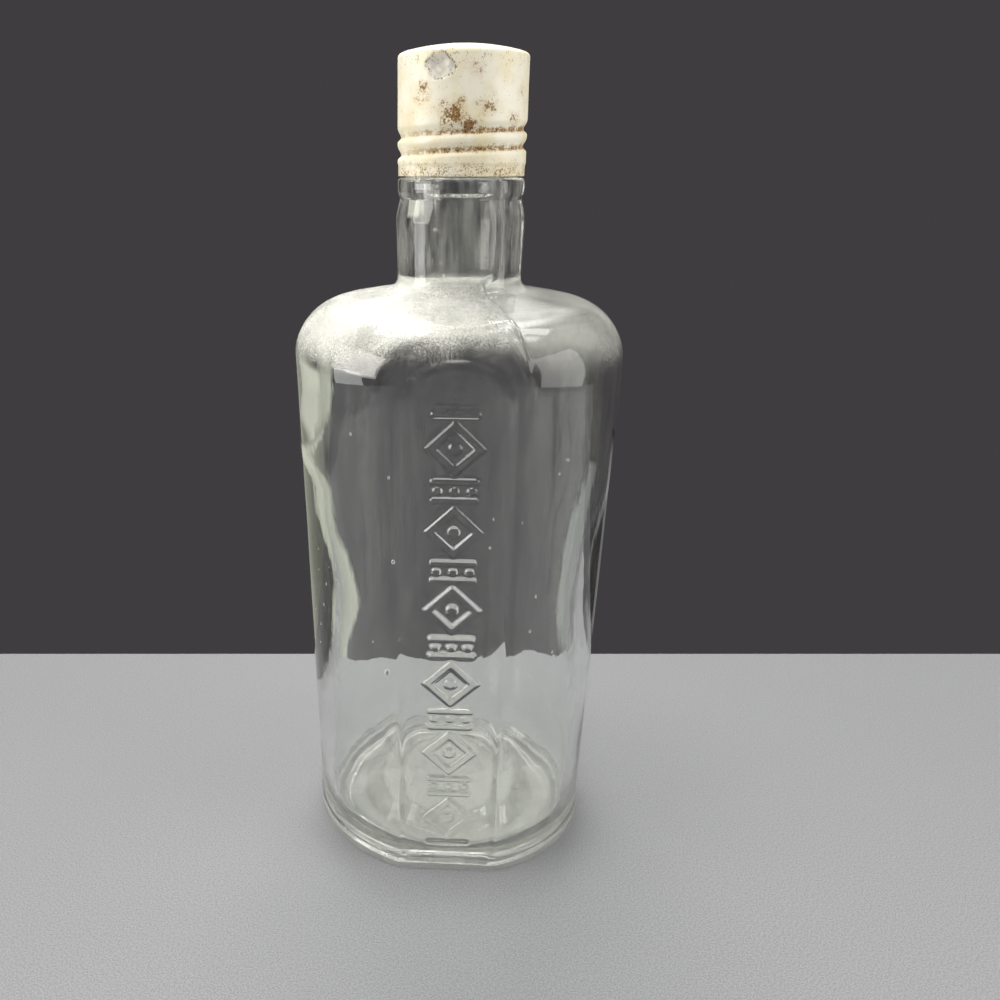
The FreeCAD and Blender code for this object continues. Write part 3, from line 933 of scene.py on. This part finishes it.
class BOTTLE_OT_seeds(bpy.types.Operator):
    """Model the air bubbles that are caught in the glass"""

    bl_idname = "bottle.seeds"
    bl_label = "Bubbles"
    bl_options = {"REGISTER", "UNDO"}

    # Angle from the front in degrees, height, width and length in millimetres
    SEEDS = (
        (-24.1, 48.3, 1.15, 1.5), (-21, 73.3, 0.7, 0.9), (-15.1, 21.9, 0.7, 0.8), (-36.9, 97.6, 0.5, 0.6),
        (-22.2, 90.4, 0.45, 0.7), (36.9, 90.5, 0.4, 0.6), (29.3, 58.1, 0.45, 0.8), (12.7, 76.7, 0.4, 0.6),
        (30.8, 65.6, 0.4, 0.9), (34.6, 32.8, 0.6, 0.6), (40.7, 51.6, 0.45, 0.6), (-52.4, 50.7, 0.5, 0.9),
        (-58, 57.5, 0.4, 0.8), (-55, 63, 0.4, 0.7), (-49, 44, 0.4, 0.6), (-60, 70, 0.35, 0.6),
        (-62, 52, 0.4, 0.7), (-66, 60, 0.3, 0.6), (-64, 47, 0.35, 0.5), (-57, 41, 0.35, 0.5),
        (-68, 54, 0.3, 0.5), (-61, 65, 0.3, 0.5), (-46, 56, 0.3, 0.5), (-42, 47, 0.3, 0.5),
        (96, 40, 0.5, 0.8), (118, 82, 0.45, 0.7), (158, 61, 0.6, 0.9), (-131, 30, 0.5, 0.7),
    )
    DEPTH = 1.15 * MM
    UNIT_RADIUS = 0.5 * MM
    TAPER = 0.25

    def execute(self, context):
        glass, cap = context.scene.bottle_glass, context.scene.bottle_cap
        form = GlassForm(glass, cap)
        bm = bmesh.new()
        for degrees, height, width, tall in self.SEEDS:
            turn = FRONT + math.radians(degrees)
            height *= MM
            surface = form.outside_point(turn, form.wall_radius(height), height)
            inward = Vector((-surface.x, -surface.y, 0)).normalized()
            made = bmesh.ops.create_icosphere(bm, subdivisions=3, radius=self.UNIT_RADIUS)["verts"]
            for vertex in made:
                girth = width * (1 - self.TAPER * vertex.co.z / self.UNIT_RADIUS)
                vertex.co = vertex.co * Vector((girth, girth, tall))
            bmesh.ops.translate(bm, verts=made, vec=surface + inward * self.DEPTH)
        add_piece("glass_seeds", bm, seed_glass(), "bottle")
        return {"FINISHED"}


class BOTTLE_OT_cap(bpy.types.Operator):
    """Model the tin screw cap with its rolled thread"""

    bl_idname = "bottle.cap"
    bl_label = "Tin cap"
    bl_options = {"REGISTER", "UNDO"}

    COLUMNS = 240
    DOME_STEPS = 16
    # Unevenness of the tin, which grows from the middle of the crown to its full depth at a radius
    BEATEN_SIZE = 7 * MM
    BEATEN_DEPTH = 0.05 * MM
    BEATEN_RADIUS = 8 * MM
    DENT_FLATNESS = 1.3
    DENT_GRAIN = 1.5 * MM
    DENT_RAGGEDNESS = 0.3
    DENT_RIM = 0.07 * MM
    DENT_RIM_WIDTH = 0.2

    def dome(self, cap, inset, edge):
        """Corners along the crown, from its middle to near the rim."""
        radius = cap.dome_radius - inset
        top = CAP_HIGH.z - inset
        widest = math.asin(edge / radius)
        leans = [widest * step / self.DOME_STEPS for step in range(self.DOME_STEPS + 1)]
        centre = top - radius
        return [(radius * math.sin(lean), centre + radius * math.cos(lean), 0, 1.5 * MM) for lean in leans]

    def side(self, cap, inset):
        """Corners from the crown's rim down to the foot."""
        radius = CAP_HIGH.x - inset
        foot = CAP_LOW.z
        crown = self.dome(cap, inset, radius - 0.9 * cap.rim_radius)
        rim_height = crown[-1][1] - 0.35 * cap.rim_radius
        rounding = cap.rim_radius - inset
        band = foot + cap.skirt_height
        return crown[:-1] + [
            (*crown[-1][:2], 0, 0.3 * MM),
            (radius, rim_height, 0.62 * rounding, 0.32 * MM),
            (radius, band + 0.6 * MM, 0.5 * MM, 0.25 * MM),
            (radius - cap.skirt_inset, band, 0.4 * MM, 0.25 * MM),
            (radius - cap.skirt_inset, foot, 0, 0.3 * MM),
        ]

    def execute(self, context):
        cap = context.scene.bottle_cap
        outer = self.side(cap, 0)
        inner = self.side(cap, cap.tin)
        points = section_points(outer) + list(reversed(section_points(inner)))
        bm = turned(points, self.COLUMNS)
        groove = bm.verts.layers.float.new("groove")
        dent = bm.verts.layers.float.new("dent")
        dent_way = ray(FRONT + cap.dent_angle)
        dent_centre = dent_way * CAP_HIGH.x + Vector((0, 0, cap.dent_height))
        for vertex in bm.verts:
            turn, radius = polar(vertex.co)
            dip = roll_dip(cap, turn, vertex.co.z)
            vertex[groove] = dip
            from_dent = vertex.co - dent_centre
            away = math.hypot(from_dent.xy.length, from_dent.z * self.DENT_FLATNESS) / cap.dent_radius
            away += self.DENT_RAGGEDNESS * noise.noise(vertex.co / self.DENT_GRAIN)
            vertex[dent] = 1 - smooth_step(0.55, 1.05, away)
            if radius < TINY:
                continue
            outward = Vector((vertex.co.x, vertex.co.y, 0)) / radius
            beaten = noise.noise(vertex.co / self.BEATEN_SIZE) * self.BEATEN_DEPTH
            beaten *= smooth_step(0, self.BEATEN_RADIUS, radius)
            vertex.co += outward * (beaten - dip * cap.roll_depth)
            vertex.co -= dent_way * cap.dent_depth * (1 - smooth_step(0.1, 1.0, away))
            vertex.co += dent_way * self.DENT_RIM * bell(away - 1, self.DENT_RIM_WIDTH)
        bmesh.ops.recalc_face_normals(bm, faces=bm.faces[:])
        add_piece("cap_tin", bm, cream_enamel(cap), "cap", "cap_shell")
        return {"FINISHED"}


class BOTTLE_OT_liner(bpy.types.Operator):
    """Model the cork wad and the waxed facing under it"""

    bl_idname = "bottle.liner"
    bl_label = "Liner"
    bl_options = {"REGISTER", "UNDO"}

    COLUMNS = 144
    GRAIN = 1.6 * MM

    def disc(self, glass, low, high, edge, rough, mark_depth):
        """A disc with soft edges, an uneven rim and the mark of the lip in its under side."""
        radius = high.x
        bm = turned(section_points([
            (0, low.z, 0, 1.0 * MM),
            (radius, low.z, edge, 0.12 * MM),
            (radius, high.z, edge, 1.2 * MM),
            (0, high.z, 0, 1 * MM),
        ]), self.COLUMNS)
        mark = bm.verts.layers.float.new("lip_mark")
        lip_middle = glass.finish_radius - glass.finish_wall / 2
        for vertex in bm.verts:
            across = math.hypot(vertex.co.x, vertex.co.y)
            under = 1 - smooth_step(low.z, low.z + 0.3 * (high.z - low.z), vertex.co.z)
            off_lip = abs(across - lip_middle) / (glass.finish_wall / 2)
            vertex[mark] = under * (1 - smooth_step(0.7, 1.15, off_lip))
            if across < TINY:
                continue
            near_rim = smooth_step(0.8 * radius, radius, across)
            worn = rough * (noise.noise(vertex.co / self.GRAIN) - 1) * near_rim
            vertex.co.x *= 1 + worn / radius
            vertex.co.y *= 1 + worn / radius
            bulge = under * (1 - vertex[mark]) * mark_depth * smooth_step(0.2, 0.9, off_lip)
            vertex.co.z -= bulge * (1 if across < lip_middle else 0.5)
        bmesh.ops.recalc_face_normals(bm, faces=bm.faces[:])
        return bm

    def execute(self, context):
        glass, cap = context.scene.bottle_glass, context.scene.bottle_cap
        wad = self.disc(glass, WAD_LOW, WAD_HIGH, edge=0.35 * MM, rough=0.12 * MM, mark_depth=0)
        add_piece("wad_cork", wad, pressed_cork(cap), "cap", "cork_wad")
        low, high = FACING_LOW, FACING_HIGH
        facing = self.disc(glass, low, high, edge=0.12 * MM, rough=0.05 * MM, mark_depth=cap.lip_mark)
        add_piece("facing_paper", facing, waxed_paper(cap), "liner", "liner_facing")
        return {"FINISHED"}


def aimed(place, aim):
    """The turn of a lamp at a place that shines on a point."""
    return (Vector(aim) - Vector(place)).to_track_quat("-Z", "Y").to_euler()


class BOTTLE_OT_stage(bpy.types.Operator):
    """Set up the table, the plain backdrop, the lamps and the camera"""

    bl_idname = "bottle.stage"
    bl_label = "Stage"
    bl_options = {"REGISTER", "UNDO"}

    TABLE_THICKNESS = 30 * MM
    TABLE_ROUNDING = 1 * MM
    SENSOR_WIDTH = 36
    # Name, place, aim, width, height, power in watts and colour of each lamp
    LAMPS = (
        ("ceiling_lamp", (-0.22, 0.24, 1.0), (0, 0, 0.1), 0.80, 0.40, 5.5, (1.0, 0.98, 0.95)),
        ("top_lamp", (-0.15, -0.30, 1.0), (0, 0, 0.1), 0.60, 0.60, 5.0, (1.0, 0.98, 0.95)),
        ("ceiling_right", (0.52, 0.22, 1.0), (0, 0, 0.1), 0.22, 0.22, 1.0, (1.0, 0.98, 0.95)),
        ("back_lamp", (-0.05, 0.55, 0.95), (0, 0, 0.1), 0.50, 0.24, 6.5, (1.0, 0.98, 0.95)),
        ("front_lamp", (-0.95, -0.28, 0.40), (0, 0, 0.12), 0.70, 0.60, 7.0, (1.0, 0.98, 0.92)),
        ("fill_lamp", (0.75, -0.22, 0.40), (0, 0, 0.12), 0.50, 0.50, 2.2, (1.0, 0.98, 0.93)),
        ("window_left", (-0.54, -0.13, 0.02), (0, 0, 0.1), 0.24, 0.24, 0.75, (1.0, 1.0, 1.0)),
        ("window_right", (0.56, -0.16, 0.17), (0, 0, 0.12), 0.38, 0.56, 1.8, (1.0, 0.99, 0.95)),
    )
    UNSEEN_IN_REFLECTIONS = ("top_lamp", "fill_lamp")
    UNSEEN_THROUGH_GLASS = ("top_lamp", "fill_lamp", "window_left", "window_right")
    # Name, place, aim, width, height, brightness, colour and share of the fading border of each soft box
    SOFT_BOXES = (
        ("soft_back", (-0.08, 0.60, 0.60), (0, 0, 0.1), 1.00, 0.60, 1.4, (1.0, 0.99, 0.97), 0.3),
        ("soft_left", (-0.446, 0.381, -0.26), (0, 0, -0.26), 0.56, 0.66, 0.6, (0.97, 1.0, 0.82), 0.1),
        ("soft_right", (0.259, 0.508, -0.16), (0, 0, -0.16), 0.15, 0.20, 0.27, (0.97, 1.0, 0.97), 0.15),
    )

    def table(self, stage):
        """A plain table with a straight, slightly rounded back edge."""
        bm = bmesh.new()
        size, thick = stage.table_size, self.TABLE_THICKNESS
        bmesh.ops.create_cube(bm, size=1)
        bmesh.ops.scale(bm, vec=(size, size, thick), verts=bm.verts[:])
        bmesh.ops.translate(bm, vec=(0, stage.table_back - size / 2, -thick / 2), verts=bm.verts[:])
        rounding = self.TABLE_ROUNDING
        bmesh.ops.bevel(
            bm, geom=bm.edges[:], offset=rounding, segments=3, profile=0.5, affect="EDGES", material=-1
        )
        bmesh.ops.rotate(bm, matrix=Matrix.Rotation(stage.table_turn, 3, "Z"), verts=bm.verts[:])
        linked("table", bm, table_paint(stage))

    def soft_boxes(self):
        """Glowing panels with soft borders, which the glass shows and the camera does not."""
        for name, place, aim, width, height, glow, tone, border in self.SOFT_BOXES:
            bm = bmesh.new()
            bmesh.ops.create_grid(bm, x_segments=1, y_segments=1, size=0.5)
            panel = linked(name, bm, soft_glow(name, glow, tone, border))
            panel.location = place
            panel.scale = (width, height, 1)
            panel.rotation_euler = aimed(place, aim)
            panel.visible_camera = False
            panel.visible_shadow = False

    def backdrop(self, stage):
        """A plain dark surrounding for what is seen, and an even light for what is lit."""
        world = bpy.data.worlds.new("backdrop")
        world.use_nodes = True
        nodes = Nodes(world.node_tree)
        rays = ("Is Camera Ray", "Is Glossy Ray", "Is Transmission Ray")
        seen = reduce(Signal.most, [nodes.signal("ShaderNodeLightPath", output=ray) for ray in rays])
        lit = nodes.signal("ShaderNodeBackground", None, {"Strength": stage.ambient})
        plain = nodes.signal("ShaderNodeBackground", None, {"Color": stage.backdrop})
        nodes.node("ShaderNodeOutputWorld", None, {"Surface": nodes.blended(seen, lit, plain)})
        bpy.context.scene.world = world

    def lamps(self):
        """Soft studio lamps."""
        for name, place, aim, width, height, power, tone in self.LAMPS:
            lamp = bpy.data.lights.new(name, "AREA")
            lamp.shape = "RECTANGLE"
            lamp.size = width
            lamp.size_y = height
            lamp.energy = power
            lamp.color = tone
            holder = bpy.data.objects.new(name, lamp)
            holder.location = place
            holder.rotation_euler = aimed(place, aim)
            holder.visible_camera = False
            holder.visible_transmission = name not in self.UNSEEN_THROUGH_GLASS
            holder.visible_glossy = name not in self.UNSEEN_IN_REFLECTIONS
            bpy.context.scene.collection.objects.link(holder)

    def camera(self, stage):
        """The camera at the photograph's angle."""
        lens = bpy.data.cameras.new("camera")
        lens.sensor_width = self.SENSOR_WIDTH
        lens.lens = stage.camera_lens
        lens.shift_x = stage.camera_shift
        lens.clip_start = 10 * MM
        holder = bpy.data.objects.new("camera", lens)
        turn = Matrix.Rotation(stage.camera_yaw, 4, "Z")
        tilt = Matrix.Rotation(math.pi / 2 - stage.camera_pitch, 4, "X")
        place = Matrix.Translation((0, -stage.camera_distance, stage.camera_height))
        holder.matrix_world = place @ turn @ tilt
        bpy.context.scene.collection.objects.link(holder)
        bpy.context.scene.camera = holder

    def execute(self, context):
        stage = context.scene.bottle_stage
        self.table(stage)
        self.backdrop(stage)
        self.lamps()
        self.soft_boxes()
        self.camera(stage)
        bpy.context.scene.view_settings.view_transform = "Standard"
        return {"FINISHED"}


class BOTTLE_PT_panel(bpy.types.Panel):
    """Sizes and colours of the bottle, and what builds it"""

    bl_idname = "BOTTLE_PT_panel"
    bl_label = "Screw cap bottle"
    bl_space_type = "VIEW_3D"
    bl_region_type = "UI"
    bl_category = "Bottle"

    def draw(self, context):
        for group in (context.scene.bottle_glass, context.scene.bottle_cap, context.scene.bottle_stage):
            box = self.layout.box()
            for name in group.__annotations__:
                box.prop(group, name)
        for operator in OPERATORS:
            self.layout.operator(operator.bl_idname)


OPERATORS = (BOTTLE_OT_glass, BOTTLE_OT_seeds, BOTTLE_OT_cap, BOTTLE_OT_liner, BOTTLE_OT_stage)
SETTINGS = {"bottle_glass": GlassSettings, "bottle_cap": CapSettings, "bottle_stage": StageSettings}


def register():
    for name, group in SETTINGS.items():
        bpy.utils.register_class(group)
        setattr(bpy.types.Scene, name, PointerProperty(type=group))
    for kind in (*OPERATORS, BOTTLE_PT_panel):
        bpy.utils.register_class(kind)


def unregister():
    for kind in (BOTTLE_PT_panel, *reversed(OPERATORS)):
        bpy.utils.unregister_class(kind)
    for name, group in SETTINGS.items():
        delattr(bpy.types.Scene, name)
        bpy.utils.unregister_class(group)


def main():
    register()
    bpy.ops.bottle.glass()
    bpy.ops.bottle.seeds()
    bpy.ops.bottle.cap()
    bpy.ops.bottle.liner()
    bpy.ops.bottle.stage()


if __name__ == "__main__":
    main()
